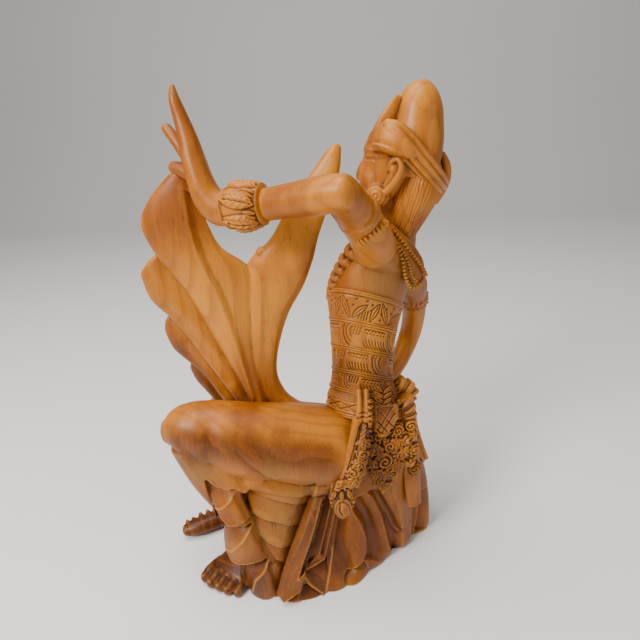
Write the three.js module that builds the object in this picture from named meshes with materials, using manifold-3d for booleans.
// Legong dancer: a crouching temple dancer with a raised wing of cloth, carved from one block of wood.
// Millimetres, +Z up. She faces -X, a little towards +Y, and her left side is towards -Y.
// The origin is the middle of the box round her, seen from above, on the surface that she stands on.
import * as THREE from "three";
import { mergeVertices } from "three/addons/utils/BufferGeometryUtils.js";
import Module from "manifold-3d";

const wasm = await Module();
wasm.setup();

// Driving sizes
const LAP_HEIGHT = 114; // level inside the lap where the lobes of the wing begin
const WRAP_TOP = 84; // where the wound skirt leaves the thighs
const BAND_COUNT = 5; // turns of cloth round each shin
const PLEAT_DEPTH = 12; // depth of the pleats of the train at the hem
const WRAP_BORDERS = [134, 148, 165, 182, 199]; // raised borders of the cloth round the trunk

// Direction in plan from her left side to her right side, in degrees from +X
const HIP_TURN = 68;
const CHEST_TURN = 54;
const HEAD_TURN = 70;
const HEAD_TILT = 10; // how far the head leans back
const HEAD_CENTRE = new THREE.Vector3(63, 7, 284);

const ALONG_X = new THREE.Vector3(1, 0, 0);
const ALONG_Y = new THREE.Vector3(0, 1, 0);
const ALONG_Z = new THREE.Vector3(0, 0, 1);
const planAxis = (degrees) => ALONG_X.clone().applyAxisAngle(ALONG_Z, THREE.MathUtils.degToRad(degrees));

// The values of a list of stations at place t from 0 to 1, on a smooth curve through them
function smoothAt(stations, t) {
  const last = stations.length - 1;
  const s = Math.min(Math.max(t, 0), 1) * last;
  const i = Math.min(Math.floor(s), last - 1);
  const f = s - i;
  const [p0, p1, p2, p3] = [-1, 0, 1, 2].map((k) => stations[Math.min(Math.max(i + k, 0), last)]);
  return p1.map((_, n) => {
    const a = -0.5 * p0[n] + 1.5 * p1[n] - 1.5 * p2[n] + 0.5 * p3[n];
    const b = p0[n] - 2.5 * p1[n] + 2 * p2[n] - 0.5 * p3[n];
    const c = 0.5 * (p2[n] - p0[n]);
    return ((a * f + b) * f + c) * f + p1[n];
  });
}

function solidFromGeometry(geometry) {
  const plain = geometry.clone();
  plain.deleteAttribute("normal");
  plain.deleteAttribute("uv");
  const merged = mergeVertices(plain, 1e-4);
  const solidOf = (triVerts) =>
    new wasm.Manifold(
      new wasm.Mesh({ numProp: 3, vertProperties: merged.attributes.position.array, triVerts }),
    );
  const faces = new Uint32Array(merged.index.array);
  const made = solidOf(faces);
  if (made.volume() >= 0) return made;
  for (let i = 0; i < faces.length; i += 3) [faces[i + 1], faces[i + 2]] = [faces[i + 2], faces[i + 1]];
  return solidOf(faces);
}

// A solid from closed rings with the same count of points, and a point to close each end on
function solidFromRings(rings, startPoint, endPoint) {
  const count = rings[0].length;
  const points = [startPoint, ...rings.flat(), endPoint];
  const at = (ring, k) => 1 + ring * count + (k % count);
  const index = [];
  for (let k = 0; k < count; k++) {
    index.push(0, at(0, k + 1), at(0, k));
    for (let r = 0; r < rings.length - 1; r++) {
      index.push(at(r, k), at(r, k + 1), at(r + 1, k + 1));
      index.push(at(r, k), at(r + 1, k + 1), at(r + 1, k));
    }
    index.push(points.length - 1, at(rings.length - 1, k), at(rings.length - 1, k + 1));
  }
  const geometry = new THREE.BufferGeometry().setFromPoints(points);
  geometry.setIndex(index);
  return solidFromGeometry(geometry);
}

const centreOf = (ring) => ring.reduce((sum, p) => sum.add(p), new THREE.Vector3()).divideScalar(ring.length);

// An oval ring of points round centre, wide along u and deep along v
function ovalRing(centre, u, v, wide, deep, sides) {
  return Array.from({ length: sides }, (_, k) => {
    const angle = (2 * Math.PI * k) / sides;
    return centre
      .clone()
      .addScaledVector(u, Math.cos(angle) * Math.max(wide, 0.5))
      .addScaledVector(v, Math.sin(angle) * Math.max(deep, 0.5));
  });
}

// A limb or neck through stations [x, y, z, half width, half depth]. The width lies along across, and
// each ring lies square to the path, or square to normal(t) where that is given.
function sweep(stations, options = {}) {
  const { sides = 8, steps = 1, across = ALONG_Y, acrossEnd = across, dome = 0.4, normal } = options;
  const count = (stations.length - 1) * steps;
  const placeAt = (t) => new THREE.Vector3(...smoothAt(stations, t));
  const rings = [];
  for (let i = 0; i <= count; i++) {
    const t = i / count;
    const [, , , wide, deep] = smoothAt(stations, t);
    const facing = normal ? normal(t) : placeAt(t + 0.01).sub(placeAt(t - 0.01)).normalize();
    const u = across.clone().lerp(acrossEnd, t);
    u.addScaledVector(facing, -u.dot(facing)).normalize();
    const v = new THREE.Vector3().crossVectors(facing, u);
    rings.push(ovalRing(placeAt(t), u, v, wide, deep, sides));
  }
  const closeAt = (t, inner) => {
    const [, , , wide, deep] = smoothAt(stations, t);
    const outward = placeAt(t).sub(placeAt(inner)).normalize();
    return placeAt(t).addScaledVector(outward, dome * Math.min(wide, deep));
  };
  return solidFromRings(rings, closeAt(0, 0.03), closeAt(1, 0.97));
}

// A lobe of cloth between its two edges: stations are [x left, z left, x right, z right, y, half depth]
function lobe(stations, sides = 8) {
  const count = stations.length - 1;
  const rings = [];
  for (let i = 0; i <= count; i++) {
    const [xl, zl, xr, zr, y, deep] = smoothAt(stations, i / count);
    const u = new THREE.Vector3(xr - xl, 0, zr - zl);
    const half = u.length() / 2;
    rings.push(ovalRing(new THREE.Vector3((xl + xr) / 2, y, (zl + zr) / 2), u.normalize(), ALONG_Y, half, deep, sides));
  }
  const [first, last] = [rings[0], rings[rings.length - 1]].map(centreOf);
  const before = centreOf(rings[rings.length - 2]);
  return solidFromRings(rings, first, last.clone().addScaledVector(last.clone().sub(before).normalize(), 2));
}

// A body of cloth through closed plan outlines, each { z, plan: [[x, y], ...] }
function loft(levels, samples) {
  const rings = levels.map(({ z, plan }) =>
    new THREE.CatmullRomCurve3(plan.map(([x, y]) => new THREE.Vector3(x, y, z)), true).getPoints(samples).slice(1),
  );
  return solidFromRings(rings, centreOf(rings[0]), centreOf(rings[rings.length - 1]));
}

// A leaf or layer of cloth: its outline [[x, z], ...] seen from the -Y side, its near face at y = near(x, z)
function panel(outline, thickness, near) {
  const shape = new THREE.Shape(outline.map(([x, z]) => new THREE.Vector2(x, z)));
  const geometry = new THREE.ExtrudeGeometry(shape, { depth: thickness, bevelEnabled: false, steps: 1 });
  const places = geometry.attributes.position;
  for (let i = 0; i < places.count; i++) {
    const [x, z, inward] = [places.getX(i), places.getY(i), places.getZ(i)];
    places.setXYZ(i, x, near(x, z) + inward, z);
  }
  return solidFromGeometry(geometry);
}

// A ball squashed to three half sizes
function ball([x, y, z], [rx, ry, rz], segments = 8) {
  const geometry = new THREE.SphereGeometry(1, segments, Math.max(4, Math.round(segments * 0.6)));
  geometry.rotateX(Math.PI / 2);
  geometry.scale(rx, ry, rz);
  geometry.translate(x, y, z);
  return solidFromGeometry(geometry);
}

// Carved teeth or beads, one after another along a smooth line of points, large and small in turn
function teeth(line, count, size, small = 1) {
  return join(
    Array.from({ length: count }, (_, i) => {
      const radius = size * (i % 2 ? small : 1);
      const bead = radius > 3 ? new THREE.IcosahedronGeometry(radius) : new THREE.OctahedronGeometry(radius * 1.2);
      return solidFromGeometry(bead.translate(...smoothAt(line, i / (count - 1))));
    }),
  );
}

// A curl of carved leaf: a tapering rod bent round in a hook, in the plane of u and v
function curl(centre, u, v, radius, hand = 1) {
  const stations = Array.from({ length: 6 }, (_, i) => {
    const angle = hand * (-0.6 + i * 0.95);
    const reach = radius * (1 - 0.09 * i);
    const place = new THREE.Vector3(...centre)
      .addScaledVector(u, Math.cos(angle) * reach)
      .addScaledVector(v, Math.sin(angle) * reach);
    return [...place, radius * (0.45 - 0.03 * i), radius * (0.45 - 0.03 * i)];
  });
  return sweep(stations, { sides: 4, across: new THREE.Vector3().crossVectors(u, v) });
}

const join = (solids) => wasm.Manifold.union(solids);

// Trunk, from the seat to the neck: [x, y, z, half width, half depth, lean of the section to her right]
const TRUNK = [
  [50, 8, 60, 19, 17, 0],
  [51, 8, 84, 31, 27, 6],
  [49, 7, 112, 31, 26, 14],
  [47, 6, 131, 26, 24, 24],
  [45, 5, 148, 21.5, 20, 27],
  [45, 6, 166, 21.5, 20, 27],
  [46, 9, 183, 25, 21, 27],
  [48, 12, 199, 28, 23, 28],
  [56, 13, 216, 30, 20, 30],
  [64, 13, 231, 22, 14, 24],
  [68, 12, 244, 12, 12, 10],
  [66, 11, 256, 11.5, 11.5, 0],
  [63, 9, 268, 10, 10, 0],
];
const LEFT_SHOULDER = [53, -10, 240];
const RIGHT_SHOULDER = [81, 33, 203];

const trunkNormal = (lean, turn) => {
  const tilt = THREE.MathUtils.degToRad(lean);
  return planAxis(turn).multiplyScalar(Math.sin(tilt)).add(new THREE.Vector3(0, 0, Math.cos(tilt)));
};
const turnAt = (t) => THREE.MathUtils.lerp(HIP_TURN, CHEST_TURN, t);

function trunk() {
  const body = sweep(TRUNK, {
    sides: 12,
    across: planAxis(HIP_TURN),
    acrossEnd: planAxis(CHEST_TURN),
    normal: (t) => trunkNormal(smoothAt(TRUNK, t)[5], turnAt(t)),
  });
  // Her right shoulder is low, so a yoke carries the line of the shoulders down across the chest.
  const yoke = sweep([[...LEFT_SHOULDER, 11, 12], [66, 12, 226, 14, 14], [...RIGHT_SHOULDER, 11, 11]], {
    across: planAxis(CHEST_TURN - 90),
    dome: 0.6,
  });
  return join([body, yoke, ball([34, 9, 207], [9, 11, 10]), ball([47, 29, 198], [9, 11, 10])]);
}

// A level of the trunk, proud of its surface
function trunkLevel(height, proud) {
  let [low, high] = [0, 1];
  for (let i = 0; i < 30; i++) {
    const t = (low + high) / 2;
    if (smoothAt(TRUNK, t)[2] < height) low = t;
    else high = t;
  }
  const [x, y, z, wide, deep, lean] = smoothAt(TRUNK, low);
  return [x, y, z, wide + proud, deep + proud, lean, turnAt(low)];
}

// A band round the trunk between two heights, made of [height, proud] steps
function trunkBand(steps) {
  const stations = steps.map(([height, proud]) => trunkLevel(height, proud));
  const last = stations.length - 1;
  return sweep(stations, {
    sides: 12,
    across: planAxis(stations[0][6]),
    acrossEnd: planAxis(stations[last][6]),
    normal: (t) => trunkNormal(smoothAt(stations, t)[5], smoothAt(stations, t)[6]),
    dome: 0,
  });
}

// Five turns of carved cloth, each with a raised border along its lower edge, over a broad belt
function waistWrap() {
  const border = 3;
  const steps = WRAP_BORDERS.flatMap((height) => {
    return [[height, 1.8], [height + border, 1.6], [height + border + 0.3, 0.5]];
  });
  const belt = [[120, 0], [122, 4], [129, 4.4], [133.5, 0.5]];
  return join([trunkBand(steps), trunkBand(belt)]);
}

// Head
const HEAD_SIDE = planAxis(HEAD_TURN);
const HEAD_FRONT = planAxis(HEAD_TURN + 90)
  .multiplyScalar(Math.cos(THREE.MathUtils.degToRad(HEAD_TILT)))
  .addScaledVector(ALONG_Z, Math.sin(THREE.MathUtils.degToRad(HEAD_TILT)));
const HEAD_UP = new THREE.Vector3().crossVectors(HEAD_SIDE, HEAD_FRONT).normalize();
if (HEAD_UP.z < 0) HEAD_UP.negate();

// A place on the head from the distances towards her right side, her face and her crown
const onHead = (side, front, up) => {
  const place = HEAD_CENTRE.clone().addScaledVector(HEAD_SIDE, side);
  return place.addScaledVector(HEAD_FRONT, front).addScaledVector(HEAD_UP, up).toArray();
};

function face() {
  const skull = sweep(
    [
      [...onHead(0, 12, -20), 5.5, 4.5],
      [...onHead(0, 8, -15), 10.5, 10],
      [...onHead(0, 3, -7), 14.5, 14.5],
      [...onHead(0, 0, 3), 16.5, 17],
      [...onHead(0, -1, 13), 16.5, 17],
      [...onHead(0, -3, 20), 13, 13],
    ],
    { sides: 10, across: HEAD_SIDE, dome: 0.5 },
  );
  const nose = sweep(
    [
      [...onHead(0, 15.5, 1), 1.8, 2],
      [...onHead(0, 18.5, -6), 2.3, 2.4],
      [...onHead(0, 18, -9.5), 3, 2.4],
    ],
    { sides: 6, across: HEAD_SIDE },
  );
  const browLine = sweep(
    [
      [...onHead(-12, 11, 1.5), 1.4, 1.5],
      [...onHead(-6, 15.8, 3.6), 1.7, 1.8],
      [...onHead(0, 16, 1.8), 1.5, 1.6],
      [...onHead(6, 15.8, 3.6), 1.7, 1.8],
      [...onHead(12, 11, 1.5), 1.4, 1.5],
    ],
    { sides: 4, across: HEAD_UP },
  );
  const features = [
    ball(onHead(-6.5, 14, -1.5), [3.2, 3.2, 2.2], 6),
    ball(onHead(6.5, 14, -1.5), [3.2, 3.2, 2.2], 6),
    ball(onHead(0, 14.6, -13.5), [2.8, 4.2, 2.2], 6),
    ball(onHead(0, 13.2, -18.6), [3.6, 4.4, 3], 6),
  ];
  return join([skull, nose, browLine, ...features]);
}

function headdress() {
  const hair = sweep(
    [
      [86, 8, 286, 14, 7],
      [80, 8, 271, 17, 12],
      [74, 9, 257, 14, 11.5],
      [70, 10, 246, 10.5, 9.5],
    ],
    { across: HEAD_SIDE },
  );
  const crown = sweep(
    [
      [76, 8, 284, 16, 18],
      [77.5, 8, 298, 16.2, 17.5],
      [79, 8, 312, 13, 14],
      [80, 8, 323, 8.6, 9],
      [79.5, 8, 329, 4, 4],
    ],
    { sides: 12, across: ALONG_X },
  );
  // Two turns of cloth run round the head, over the ears, to the knot at the nape.
  const turnsOfCloth = [0, 1].map((i) => {
    const rise = 5 * i;
    return sweep(
      [
        [...onHead(17, 0, 9 + rise), 3, 2.8],
        [...onHead(8, 13, 8.5 + rise), 3, 2.8],
        [...onHead(-6, 12.5, 8.5 + rise), 3, 2.8],
        [64, -9 + rise * 0.1, 297 + rise, 3, 2.8],
        [81, -6 + rise * 0.3, 286 + rise * 1.2, 3, 2.8],
        [90, 2, 277 + rise * 1.2, 3, 2.8],
        [93, 10, 272 + rise * 1.4, 3, 2.8],
      ],
      { sides: 4, across: new THREE.Vector3(0.6, 0, 0.8) },
    );
  });
  // Over the brow the cloth is rolled, with a corner that stands up against the crown.
  const brow = sweep(
    [
      [58, 3, 309, 5, 4],
      [62.5, -4, 307.5, 8, 6],
      [69, -8, 301, 7.5, 6],
      [76, -9, 294, 3, 4],
    ],
    { across: new THREE.Vector3(0.35, 0, 0.93) },
  );
  const corner = sweep([[58, 6, 303, 7, 5], [62.5, 4, 314, 5, 4], [66.5, 3, 324, 2.6, 2]], {
    sides: 6,
    across: new THREE.Vector3(0.8, 0, -0.5),
  });
  const knot = sweep([[93, 10, 289, 3, 2.5], [96, 12, 280, 7, 4.5], [93, 12, 268, 4, 3], [91, 12, 263, 2, 2]], {
    sides: 6,
    across: ALONG_Y,
  });
  const ears = [-1, 1].map((side) =>
    sweep(
      [
        [...onHead(side * 15, -11, 14), 3, 2.2],
        [...onHead(side * 17, -9.5, 9), 5.2, 3],
        [...onHead(side * 17.5, -6, -1), 4.4, 2.6],
        [...onHead(side * 17, 0, -10), 4.2, 3],
        [...onHead(side * 15.5, 3, -14.5), 4.2, 3.4],
      ],
      { sides: 5, across: HEAD_FRONT },
    ),
  );
  return join([hair, crown, brow, corner, knot, ...turnsOfCloth, ...ears]);
}

// The collar lies round the neck and hangs down her back in a rounded lappet with a beaded edge
function collar() {
  const lappet = sweep(
    [
      [61, -6, 251, 4, 3],
      [68, -5, 243, 5, 3.4],
      [74, -2, 232, 7.5, 4],
      [78, 1, 222, 8, 4],
      [78, 1, 215, 4.5, 3],
    ],
    { across: new THREE.Vector3(0.75, 0.55, 0) },
  );
  const leftRow = [[60, -8, 252], [65, -8, 243], [70, -7, 231], [72.5, -5.5, 221], [76.5, -2, 214.5], [82, 1, 216]];
  const rightRow = [[64, -9, 250], [72, -8, 241], [78, -5, 233], [84, 0, 226]];
  const overLeft = [[59, -9, 252], [51, -13, 247], [42, -12, 240]];
  // A carved edge of leaves stands along the front of the chest.
  const chestEdge = [[41, -3, 240], [35, -1, 231], [29, 2, 221], [25, 4, 210]];
  return join([
    lappet,
    teeth(leftRow, 7, 2.4),
    teeth(rightRow, 4, 2.3),
    teeth(overLeft, 3, 2.8),
    teeth(chestEdge, 6, 4.6, 0.8),
  ]);
}

// Left arm: the elbow is lifted out to the side, and the hand bends back with the fingers up
function leftArm() {
  const upper = sweep(
    [
      [...LEFT_SHOULDER, 13, 13],
      [49, -20, 251, 12.5, 12],
      [41, -36, 266, 11.5, 10.5],
      [33, -53, 279, 10.2, 9.6],
    ],
    { across: ALONG_Z, dome: 0.7 },
  );
  const sleeveEdge = sweep([[47, -24, 255, 11, 10], [46, -26, 257, 12.9, 12], [44.5, -29, 259.5, 12.9, 12]], {
    steps: 1,
    across: ALONG_Z,
    dome: 0,
  });
  const lower = sweep(
    [
      [36, -57, 280, 9, 9],
      [26, -52, 278.5, 9.6, 9.4],
      [8, -43, 275, 9, 8.8],
      [-10, -33, 271.5, 8.4, 8.4],
    ],
    { across: ALONG_Z, dome: 0.5 },
  );
  const bracelet = sweep(
    [
      [-8, -34, 272.3, 10, 10],
      [-13, -33, 272, 12, 11.4],
      [-21, -31, 270.8, 13, 11.6],
      [-28, -28, 269.6, 9.5, 9],
    ],
    { across: ALONG_Z, dome: 0 },
  );
  const curls = teeth([[-12, -43, 275], [-20, -42, 276], [-19, -42.5, 266]], 3, 4);
  const hand = sweep(
    [
      [-22, -29, 269.5, 8, 8],
      [-32, -27, 269.5, 9.5, 9.4],
      [-39, -25, 275, 8.4, 9.4],
      [-43, -23, 284.5, 7.2, 9],
      [-45.8, -21, 295.3, 6.6, 8],
      [-47.6, -20, 305.6, 5.4, 6.2],
      [-50.1, -18.5, 315.6, 4.2, 4.6],
      [-52.7, -17.5, 325.5, 3, 3.6],
      [-53.5, -16, 332.5, 1.4, 1.6],
    ],
    { across: ALONG_X, dome: 0.5 },
  );
  const foreFinger = sweep([[-48, -16, 292, 3.6, 4.4], [-55, -13, 303, 3.4, 4], [-62, -9, 312, 2.8, 3]], {
    sides: 8,
    across: ALONG_X,
    dome: 0.7,
  });
  const thumb = sweep([[-46, -16, 285, 4, 5], [-54, -12, 289, 4.2, 4.6], [-60.5, -9.5, 291, 3.6, 4]], {
    sides: 8,
    steps: 1,
    across: ALONG_Z,
    dome: 0.7,
  });
  return join([upper, sleeveEdge, lower, bracelet, curls, hand, foreFinger, thumb]);
}

// Right arm: the elbow points back, and the hand rests on the hip
function rightArm() {
  const arm = sweep(
    [
      [...RIGHT_SHOULDER, 11, 11],
      [85, 45, 187, 9, 9],
      [86, 56, 166, 8.4, 8.4],
      [83, 57, 151, 8, 8],
      [75, 46, 138, 7, 7],
      [65, 35, 129, 7, 6.5],
      [58, 30, 123, 8, 5],
    ],
    { sides: 8, across: ALONG_X },
  );
  const armlet = sweep(
    [
      [83.5, 40.5, 195, 9, 9],
      [84, 42, 192, 11, 11],
      [84.8, 45, 187, 11, 11],
      [85, 46, 184.5, 9, 9],
    ],
    { sides: 10, across: ALONG_X, dome: 0 },
  );
  return join([arm, armlet]);
}

// The raised wing of cloth: five lobes that rise from the lap and part, each one behind the last
const WING_LOBES = [
  // The tall right-hand lobe, which passes behind the forearm
  [
    [-25, LAP_HEIGHT - 6, 22, LAP_HEIGHT - 10, 3, 9],
    [-26, 126, 10, 120, 3, 9],
    [-28, 140, -5, 132, 1, 9],
    [-30, 156, -12, 146, 0, 8.5],
    [-31, 174, -13, 160, -1, 8.5],
    [-31, 195, -9, 179, -1, 8.5],
    [-30, 215, -2, 198, -1, 8.5],
    [-25, 233, 8, 215, -1, 8],
    [-11, 246, 15, 232, -1, 7.5],
    [-1, 261, 20, 249, -1, 6.5],
    [19, 288, 32, 280, 0, 4.5],
    [30, 300, 34.5, 297, 1, 2],
  ],
  // The broad left-hand lobe, which the hand leans on
  [
    [-32, LAP_HEIGHT, -21, LAP_HEIGHT, -2, 8.5],
    [-33, 132, -20, 132, -4, 8.5],
    [-40, 153, -24, 153, -4, 8.5],
    [-49, 173, -26, 174, -4, 8.5],
    [-64, 210, -24, 214, -4, 8.5],
    [-74, 227, -26, 231, -4, 8],
    [-83, 242, -40, 242, -4, 7.5],
    [-88, 259, -47, 257, -4, 6.5],
    [-79, 275, -50, 273, -4, 5.5],
    [-66, 287, -54, 288, -4, 3.5],
  ],
  [
    [-40, LAP_HEIGHT, -31, LAP_HEIGHT, 2, 8],
    [-43, 131, -30, 131, 1, 8],
    [-52, 148, -37, 151, 1, 8],
    [-71, 181, -52, 191, 1, 7.5],
    [-81, 196, -60, 208, 1, 7],
    [-92, 209, -71, 225, 1, 6],
    [-96, 226, -82, 240, 1, 3.5],
  ],
  [
    [-48, LAP_HEIGHT, -40, LAP_HEIGHT, 6, 7],
    [-54, 131, -40, 129, 5, 7.5],
    [-60, 143, -47, 143, 5, 7.5],
    [-67, 154, -55, 158, 5, 7],
    [-76, 163, -62, 174, 5, 6.5],
    [-84, 172, -71, 188, 5, 5.5],
    [-88, 184, -84, 196, 5, 2.5],
  ],
  [
    [-58, LAP_HEIGHT, -50, LAP_HEIGHT, 9, 6],
    [-63, 130, -50, 129, 9, 6.5],
    [-68, 138, -56, 142, 9, 6],
    [-73, 145, -63, 154, 9, 5],
    [-76, 154, -73, 160, 9, 2.5],
  ],
];

function wing() {
  const hook = ball([-17, -1, 238.5], [3, 5, 3], 6);
  return join([hook, ...WING_LOBES.map((stations) => lobe(stations))]);
}

// Skirt wound round a shin, one turn above another, each lapping over the turn below. The stations give
// the cone at the top and at the bottom.
function woundSkirt(top, bottom, lean) {
  const lap = 2.2;
  const stations = [];
  for (let band = 0; band < BAND_COUNT; band++) {
    for (const [f, proud] of [[0.03, -0.6], [0.98, lap]]) {
      const t = (band + f) / BAND_COUNT;
      const [x, y, z, wide, deep] = top.map((value, n) => value + t * (bottom[n] - value));
      stations.push([x, y, z, wide + proud, deep + proud]);
    }
  }
  const tilt = THREE.MathUtils.degToRad(lean);
  const normal = () => new THREE.Vector3(Math.sin(tilt), 0, Math.cos(tilt)).negate();
  return sweep([...stations, bottom], { sides: 12, across: ALONG_X, dome: 0, normal });
}

// Legs under the cloth
function legs() {
  const leftThigh = sweep(
    [
      [42, -12, 98, 17, 16],
      [30, -14, 101, 27, 25],
      [1, -18, 107, 29, 26],
      [-32, -24, 116, 26, 24],
      [-57, -27, 125, 21.5, 20],
      [-74, -28, 128, 17, 16],
      [-84, -28, 127, 9, 9],
    ],
    { sides: 12, across: ALONG_Z },
  );
  // A fold of the skirt follows the underside of the thigh.
  const thighEdge = sweep(
    [
      [-44, -34, 98, 7, 6],
      [-20, -34, 90, 8, 9],
      [8, -30, 84, 8, 10],
      [30, -24, 86, 6, 8],
    ],
    { sides: 8, across: ALONG_Z },
  );
  const leftKnee = sweep(
    [
      [-68, -28, 122, 17.5, 17],
      [-60, -27, 94, 18.5, 17],
      [-50, -27, 66, 14, 12],
    ],
    { across: ALONG_X, dome: 0 },
  );
  const rightThigh = sweep(
    [
      [42, 28, 84, 16, 15],
      [22, 32, 84, 20, 20],
      [-20, 40, 87, 18, 19],
      [-58, 46, 93, 16, 17],
      [-77, 47, 97, 9, 9],
    ],
    { across: ALONG_Z },
  );
  const rightKnee = sweep(
    [
      [-62, 46, 92, 15, 15],
      [-55, 45, 62, 16, 15],
      [-46, 43, 34, 13, 13],
    ],
    { across: ALONG_X, dome: 0 },
  );
  const lap = sweep([[30, 8, 84, 24, 23], [-10, 9, 86, 24, 28], [-44, 9, 92, 22, 27], [-62, 10, 90, 14, 20]]);
  return join([leftThigh, thighEdge, leftKnee, rightThigh, rightKnee, lap]);
}

// A bare foot. Heel and ball are plan points, and side is +1 for a left foot and -1 for a right foot.
function foot(heel, ballOfFoot, side) {
  const along = new THREE.Vector3(ballOfFoot[0] - heel[0], ballOfFoot[1] - heel[1], 0).normalize();
  const across = new THREE.Vector3(along.y, -along.x, 0).multiplyScalar(side);
  const part = (f, z, wide, deep) => [
    THREE.MathUtils.lerp(heel[0], ballOfFoot[0], f),
    THREE.MathUtils.lerp(heel[1], ballOfFoot[1], f),
    z,
    wide,
    deep,
  ];
  const sole = sweep([part(0, 9, 9, 8.4), part(0.4, 13, 12, 12), part(0.78, 9, 16, 9), part(1, 6.5, 17, 6)], {
    sides: 9,
    across,
    dome: 0.5,
  });
  const reaches = [10, 11, 10, 9, 6.5];
  const toes = reaches.map((reach, i) => {
    const radius = 4.7 - 0.35 * i;
    const root = new THREE.Vector3(...ballOfFoot, radius + 1.5).addScaledVector(across, 15 - 7 * i);
    const tip = root.clone().addScaledVector(along, reach).setZ(radius);
    return sweep([[...root.addScaledVector(along, -4), radius, radius], [...tip, radius * 0.85, radius]], {
      sides: 5,
      across,
      dome: 0.8,
    });
  });
  return join([sole, ...toes]);
}

// The open edge of the skirt falls past the shin in three flutes, each starting under the one above:
// places from the apex to the hem, with half widths
const FLUTES = [
  [[-48, -34, 100, 6], [-49, -37, 80, 11], [-46, -39, 64, 13.5]],
  [[-43, -38, 66, 9], [-42, -40, 48, 14], [-39.5, -41, 31, 15.5]],
  [[-33, -41, 38, 9], [-32, -42, 18, 12.5], [-28, -43, 0, 12]],
];

function ruffle() {
  const turned = new THREE.Vector3(0.94, -0.34, 0);
  return join(
    FLUTES.map((places) => {
      const stations = places.map(([x, y, z, wide]) => [x, y, z, wide, 8.5]);
      return sweep(stations, { sides: 8, across: turned, dome: 0, normal: () => new THREE.Vector3(0.2, 0, -0.98) });
    }),
  );
}

// The front flap hangs in layered pleats whose hems turn back in a zigzag
function flap() {
  const core = loft(
    [
      { z: 0, plan: [[-17, -50], [-8, -53], [6, -51], [16, -45], [24, -32], [10, -20], [-10, -26]] },
      { z: 36, plan: [[-6, -40], [2, -43], [10, -41], [19, -36], [27, -27], [16, -14], [2, -20]] },
      { z: 78, plan: [[10, -20], [14, -25], [19, -26], [25, -24], [30, -18], [24, -8], [14, -12]] },
    ],
    14,
  );
  const slope = (z) => -27 - 28 * (1 - z / 77);
  const layer = (outline, lift, thickness) => panel(outline, thickness, (x, z) => slope(z) - lift);
  return join([
    core,
    layer([[15, 77], [20, 74], [-2, 27], [2, 20], [-12, 0], [-17, 3]], 1.5, 7),
    layer([[20, 74], [26, 64], [16, 30], [-2, 27]], -1, 7),
    layer([[-2, 27], [16, 30], [13, 0], [2, 20]], -3.5, 6),
    layer([[2, 20], [13, 0], [-12, 0]], -1.5, 5),
    layer([[26, 66], [26, 52], [15, 31], [11, 39]], 1.5, 6),
  ]);
}

// The train spreads behind her in a fan of pleats, hollowed under the seat on the left. The ridges of the
// pleats meet the ground at these plan points, from the front flap round the back to the far shin.
const TRAIN_TIPS = [
  [2, -47], [20, -48], [37, -42], [57, -23], [78, -5], [97, 13], [99, 34], [86, 52],
  [64, 61], [38, 61], [12, 58], [-14, 56], [-36, 48], [-30, 18], [-4, -14],
];
const TRAIN_TOP = 90;
const SEAT = { x: 46, y: 12, wide: 37, deep: 27 };

function train() {
  const samplesPerPleat = 4;
  const samples = TRAIN_TIPS.length * samplesPerPleat;
  const hem = new THREE.CatmullRomCurve3(TRAIN_TIPS.map(([x, y]) => new THREE.Vector3(x, y, 0)), true);
  const heights = [0, 22, 50, TRAIN_TOP];
  const rings = heights.map((z) => {
    const rise = z / TRAIN_TOP;
    return Array.from({ length: samples }, (_, k) => {
      const ridge = Math.abs(Math.cos((Math.PI * k) / samplesPerPleat));
      const tip = hem.getPoint(k / samples);
      const out = new THREE.Vector3(tip.x - SEAT.x, tip.y - SEAT.y, 0);
      const pleat = PLEAT_DEPTH * (1 - ridge) * (1 - rise);
      const reach = out.length() - pleat;
      out.normalize();
      const seat = 1 / Math.hypot(out.x / SEAT.wide, out.y / SEAT.deep);
      // The pleats bulge outwards at the back and sweep in under the seat at her left side.
      const flare = 1 - rise ** (out.x > 0 && out.y > -0.5 ? 2.4 : 0.8);
      return new THREE.Vector3(SEAT.x, SEAT.y, z).addScaledVector(out, seat + (reach - seat) * flare);
    });
  });
  return solidFromRings(rings, new THREE.Vector3(SEAT.x, SEAT.y, 0), new THREE.Vector3(SEAT.x, SEAT.y, TRAIN_TOP));
}

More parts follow.
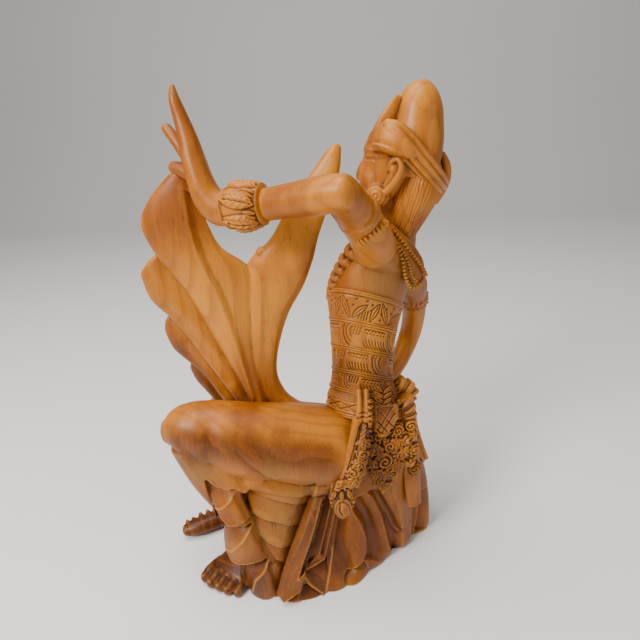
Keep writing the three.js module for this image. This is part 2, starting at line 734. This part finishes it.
// Carved leaf work that hangs from the belt over the left hip, and the flared bow behind the waist
function ornaments() {
  const strip = sweep(
    [
      [44, -19, 142, 5, 3.5],
      [43, -27, 128, 5, 4],
      [39, -35, 113, 5.5, 4.5],
      [32, -38, 96, 6, 4.5],
      [27, -36, 83, 6, 4],
    ],
    { sides: 8, across: ALONG_X },
  );
  const medallion = ball([28, -34, 70], [7, 3.5, 9], 8);
  const laceFace = (x, z) => -25 + 0.3 * Math.max(x - 50, 0) + 0.004 * (z - 92) ** 2;
  const lace = panel(
    [[49, 138], [69, 136], [72, 112], [71, 88], [66, 74], [58, 60], [50, 70], [46, 84], [48, 112]],
    9,
    laceFace,
  );
  const bow = sweep(
    [
      [64, 9, 122, 12, 6],
      [74, 12, 132, 13, 5],
      [79, 14, 137.5, 12, 2],
    ],
    { across: new THREE.Vector3(-0.4, 0.9, 0) },
  );
  const backPanel = sweep(
    [
      [70, 11, 126, 15, 6],
      [74, 12, 108, 15, 6],
      [78, 13, 92, 16, 6],
      [84, 15, 76, 15, 5],
    ],
    { across: new THREE.Vector3(-0.45, 0.85, 0) },
  );
  // Leaf curls are carved over the strip, the hanging lace and the panel behind it.
  const onSide = [new THREE.Vector3(0.94, 0.2, 0.26).normalize(), ALONG_Z];
  const onBack = [new THREE.Vector3(0.5, 0.86, 0).normalize(), ALONG_Z];
  const curls = [
    ...[[42, -31, 120], [31, -41, 95]].map((at, i) => [at, onSide, 5.2, i % 2]),
    ...[[55, 122], [54, 103], [55, 82]].map(([x, z], i) => [[x, laceFace(x, z), z], onSide, 6.4, i % 2]),
    ...[[66, 114], [65, 92]].map(([x, z], i) => [[x, laceFace(x, z), z], onSide, 6, 1 - i]),
    [[78, 3, 108], onBack, 6, 0],
  ].map(([at, [u, v], radius, turned]) => curl(at, u, v, radius, turned ? -1 : 1));
  return join([strip, medallion, lace, bow, backPanel, ...curls]);
}

// The front apron falls between the knees, and its end lies forward on the ground with a toothed edge
function apron() {
  const fall = sweep([[-56, 12, 98, 13, 6], [-60, 16, 66, 12, 5], [-58, 21, 32, 10, 5], [-60, 24, 10, 8, 6]], {
    sides: 8,
    across: ALONG_Y,
  });
  const end = sweep([[-58, 26, 9, 8, 6], [-74, 19, 8, 7.6, 6.5], [-90, 11, 7.5, 7.6, 6.5], [-100, 7, 7, 5, 4.6]], {
    across: new THREE.Vector3(-0.46, 0.89, 0),
    dome: 0.6,
  });
  return join([fall, end, teeth([[-97, 14, 9.5], [-88, 20, 11], [-77, 27, 12]], 6, 3.8, 0.6)]);
}

const whole = join([
  trunk(),
  waistWrap(),
  face(),
  headdress(),
  collar(),
  leftArm(),
  rightArm(),
  wing(),
  legs(),
  foot([-30, 2], [-55, -36], 1),
  foot([-32, 32], [-62, 54], -1),
  woundSkirt([-14, -14, WRAP_TOP, 35, 27], [-20, -37, 0, 17, 13], 14),
  woundSkirt([-22, 36, WRAP_TOP, 36, 22], [-34, 40, 0, 22, 17], 8),
  ruffle(),
  flap(),
  train(),
  ornaments(),
  apron(),
]);

// Everything is trimmed level with the ground, so that she stands on a flat underside.
const belowGround = new THREE.BoxGeometry(600, 600, 100).translate(0, 0, -50);
const trimmed = whole.subtract(solidFromGeometry(belowGround));

// The faces of the largest connected surface. The block is solid wood, so hollows that the overlapping
// forms close off inside it are filled.
function outerFaces(faces, vertexCount) {
  const leader = Array.from({ length: vertexCount }, (_, i) => i);
  const find = (i) => {
    while (leader[i] !== i) i = leader[i] = leader[leader[i]];
    return i;
  };
  for (let i = 0; i < faces.length; i += 3) {
    leader[find(faces[i + 1])] = find(faces[i]);
    leader[find(faces[i + 2])] = find(faces[i]);
  }
  const counts = new Map();
  for (const corner of faces) counts.set(find(corner), (counts.get(find(corner)) ?? 0) + 1);
  const largest = [...counts.entries()].sort((p, q) => q[1] - p[1])[0][0];
  return faces.filter((_, i) => find(faces[i - (i % 3)]) === largest);
}

function geometryFromSolid(solid) {
  const { vertProperties, triVerts } = solid.getMesh();
  let geometry = new THREE.BufferGeometry();
  geometry.setAttribute("position", new THREE.BufferAttribute(vertProperties, 3));
  geometry.setIndex(new THREE.BufferAttribute(outerFaces(triVerts, vertProperties.length / 3), 1));
  // Only the corners of the kept faces stay in the mesh.
  geometry = mergeVertices(geometry.toNonIndexed(), 1e-5);
  geometry.computeBoundingBox();
  const middle = geometry.boundingBox.getCenter(new THREE.Vector3());
  geometry.translate(-middle.x, -middle.y, 0);
  geometry.computeVertexNormals();
  return geometry;
}

const wood = new THREE.MeshStandardMaterial({ color: 0xb8762f, roughness: 0.45, metalness: 0 });
const dancer = new THREE.Mesh(geometryFromSolid(trimmed), wood);
dancer.name = "legong_dancer";

const group = new THREE.Group();
group.add(dancer);

export default group;
